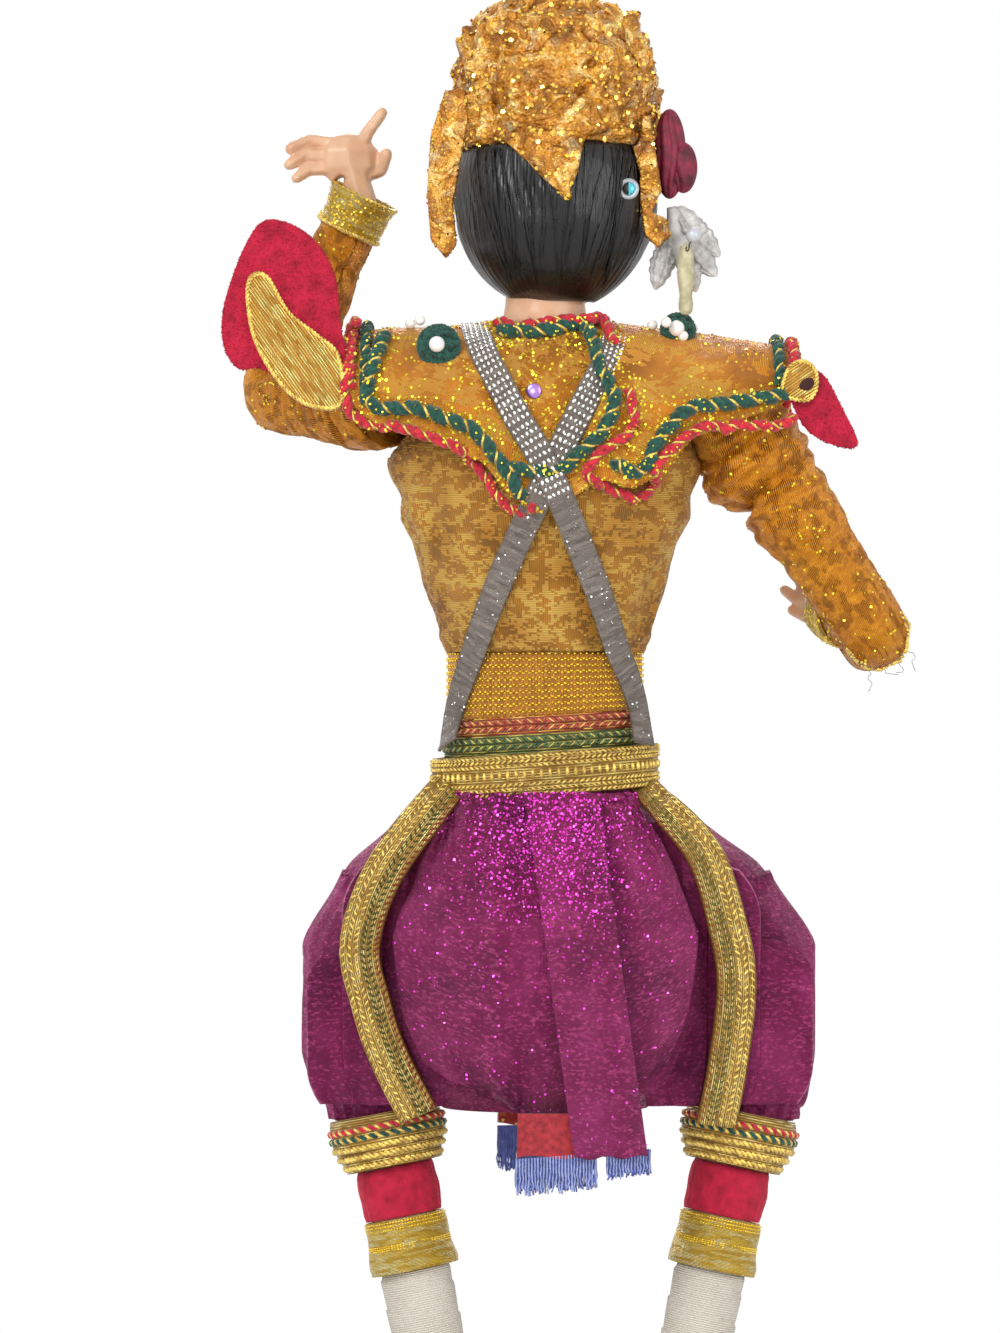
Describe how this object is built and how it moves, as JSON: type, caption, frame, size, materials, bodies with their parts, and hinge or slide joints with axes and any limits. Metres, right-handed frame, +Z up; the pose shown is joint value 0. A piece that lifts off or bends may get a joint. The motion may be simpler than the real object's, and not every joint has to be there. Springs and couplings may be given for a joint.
{
  "type": "classical dancer doll",
  "caption": "Thai-style classical dancer doll with a gilt spired headdress, brocade jacket and purple hip cloth, posable arms, on a turned wooden stand.",
  "frame": {"origin": "centre of the stand's flat underside", "axes": "+Z up along the figure, the doll faces -Y, its left hand is at +X"},
  "size_m": [0.1179, 0.095, 0.3426],
  "materials": {
    "stand_wood": "lacquered dark turned wood",
    "wire": "drawn wire",
    "flesh": "painted moulded composition",
    "leg_wrap": "white cotton wound over stuffing",
    "gold_cloth": "gold lame ribbon",
    "gold_braid": "gold gimp braid",
    "red_velvet": "crimson velvet",
    "purple_lame": "purple metallic cloth with magenta glitter",
    "red_cloth": "thin red lining cloth",
    "blue_fringe": "loose blue and white threads",
    "brocade": "orange and gold brocade",
    "green_braid": "green and gold herringbone braid",
    "red_braid": "red and gold herringbone braid",
    "red_yarn": "twisted red yarn cord",
    "green_yarn": "twisted green yarn cord",
    "hair": "glossy black painted hair",
    "gold_relief": "gilt relief with glitter",
    "flower_red": "dark red petals",
    "petal_white": "white crimped petals",
    "bud_cream": "cream bud with a clear bead",
    "silver_braid": "silver metallic braid"
  },
  "bodies": {
    "figure": {"stand": "stand_wood", "spine_rod": "wire", "leg_peg_left": "wire", "leg_peg_right": "wire", "foot_left": "flesh", "foot_right": "flesh", "neck": "flesh", "shin_left": "leg_wrap", "shin_right": "leg_wrap", "seat_core": "purple_lame", "anklet_left": "gold_cloth", "anklet_right": "gold_cloth", "trouser_cuff_left": "gold_braid", "trouser_cuff_right": "gold_braid", "leg_band_left": "red_velvet", "leg_band_right": "red_velvet", "trouser_leg_left": "purple_lame", "trouser_leg_right": "purple_lame", "hip_cloth": "purple_lame", "side_pleats_left": "purple_lame", "side_pleats_right": "purple_lame", "rear_flap": "purple_lame", "edge_strip_left": "gold_braid", "edge_strip_right": "gold_braid", "flap_lining": "red_cloth", "rear_fringe": "blue_fringe", "front_fringe": "blue_fringe", "front_panel": "brocade", "belt": "gold_braid", "green_braid": "green_braid", "red_braid": "red_braid", "waist_ribbon": "gold_cloth", "jacket_body": "brocade", "cape": "brocade", "red_edge_cord": "red_yarn", "green_edge_cord": "green_yarn", "sash_left": "silver_braid", "sash_right": "silver_braid", "wing_left": "red_velvet", "wing_right": "red_velvet", "wing_ribbon_left": "gold_cloth", "wing_ribbon_right": "gold_cloth"},
    "upper_arm_left": {"upper_sleeve_left": "brocade"},
    "forearm_left": {"fore_sleeve_left": "brocade", "wrist_cuff_left": "gold_cloth"},
    "hand_left": {"hand_left": "flesh"},
    "upper_arm_right": {"upper_sleeve_right": "brocade"},
    "forearm_right": {"fore_sleeve_right": "brocade", "wrist_cuff_right": "gold_cloth"},
    "hand_right": {"hand_right": "flesh"},
    "head": {"head": "flesh", "hair_cap": "hair", "headdress_dome": "gold_relief", "headdress_spire": "gold_relief", "ear_guard_left": "gold_relief", "ear_guard_right": "gold_relief", "ear_flower": "flower_red"},
    "tassel": {"tassel_petals": "petal_white", "tassel_bud": "bud_cream"}
  },
  "joints": [
    {"name": "head_turn", "type": "hinge", "parent": "figure", "child": "head", "pos_m": [0, 0, 0.245], "axis": [0, 0, 1], "range_deg": [-30, 30]},
    {"name": "tassel_swing", "type": "hinge", "parent": "head", "child": "tassel", "pos_m": [-0.0214, 0.0046, 0.262], "axis": [0, 1, 0], "range_deg": [0, 35]},
    {"name": "shoulder_left", "type": "hinge", "parent": "figure", "child": "upper_arm_left", "pos_m": [0.0279, 0, 0.2276], "axis": [0.5989, -0.7966, 0.0826], "range_deg": [-20, 12]},
    {"name": "elbow_left", "type": "hinge", "parent": "upper_arm_left", "child": "forearm_left", "pos_m": [0.0482, -0.027, 0.2304], "axis": [-0.7546, -0.5959, -0.2748], "range_deg": [-18, 18]},
    {"name": "wrist_left", "type": "hinge", "parent": "forearm_left", "child": "hand_left", "pos_m": [0.03195, -0.02179, 0.26373], "axis": [-0.8989, 0, -0.4382], "range_deg": [-15, 15]},
    {"name": "shoulder_right", "type": "hinge", "parent": "figure", "child": "upper_arm_right", "pos_m": [-0.031, 0, 0.2256], "axis": [1, 0, 0], "range_deg": [-15, 15]},
    {"name": "elbow_right", "type": "hinge", "parent": "upper_arm_right", "child": "forearm_right", "pos_m": [-0.0572, -0.002, 0.187], "axis": [-0.8267, -0.0223, 0.5623], "range_deg": [-18, 18]},
    {"name": "wrist_right", "type": "hinge", "parent": "forearm_right", "child": "hand_right", "pos_m": [-0.05256, -0.03045, 0.19269], "axis": [-0.7752, 0, 0.6317], "range_deg": [-15, 15]}
  ]
}
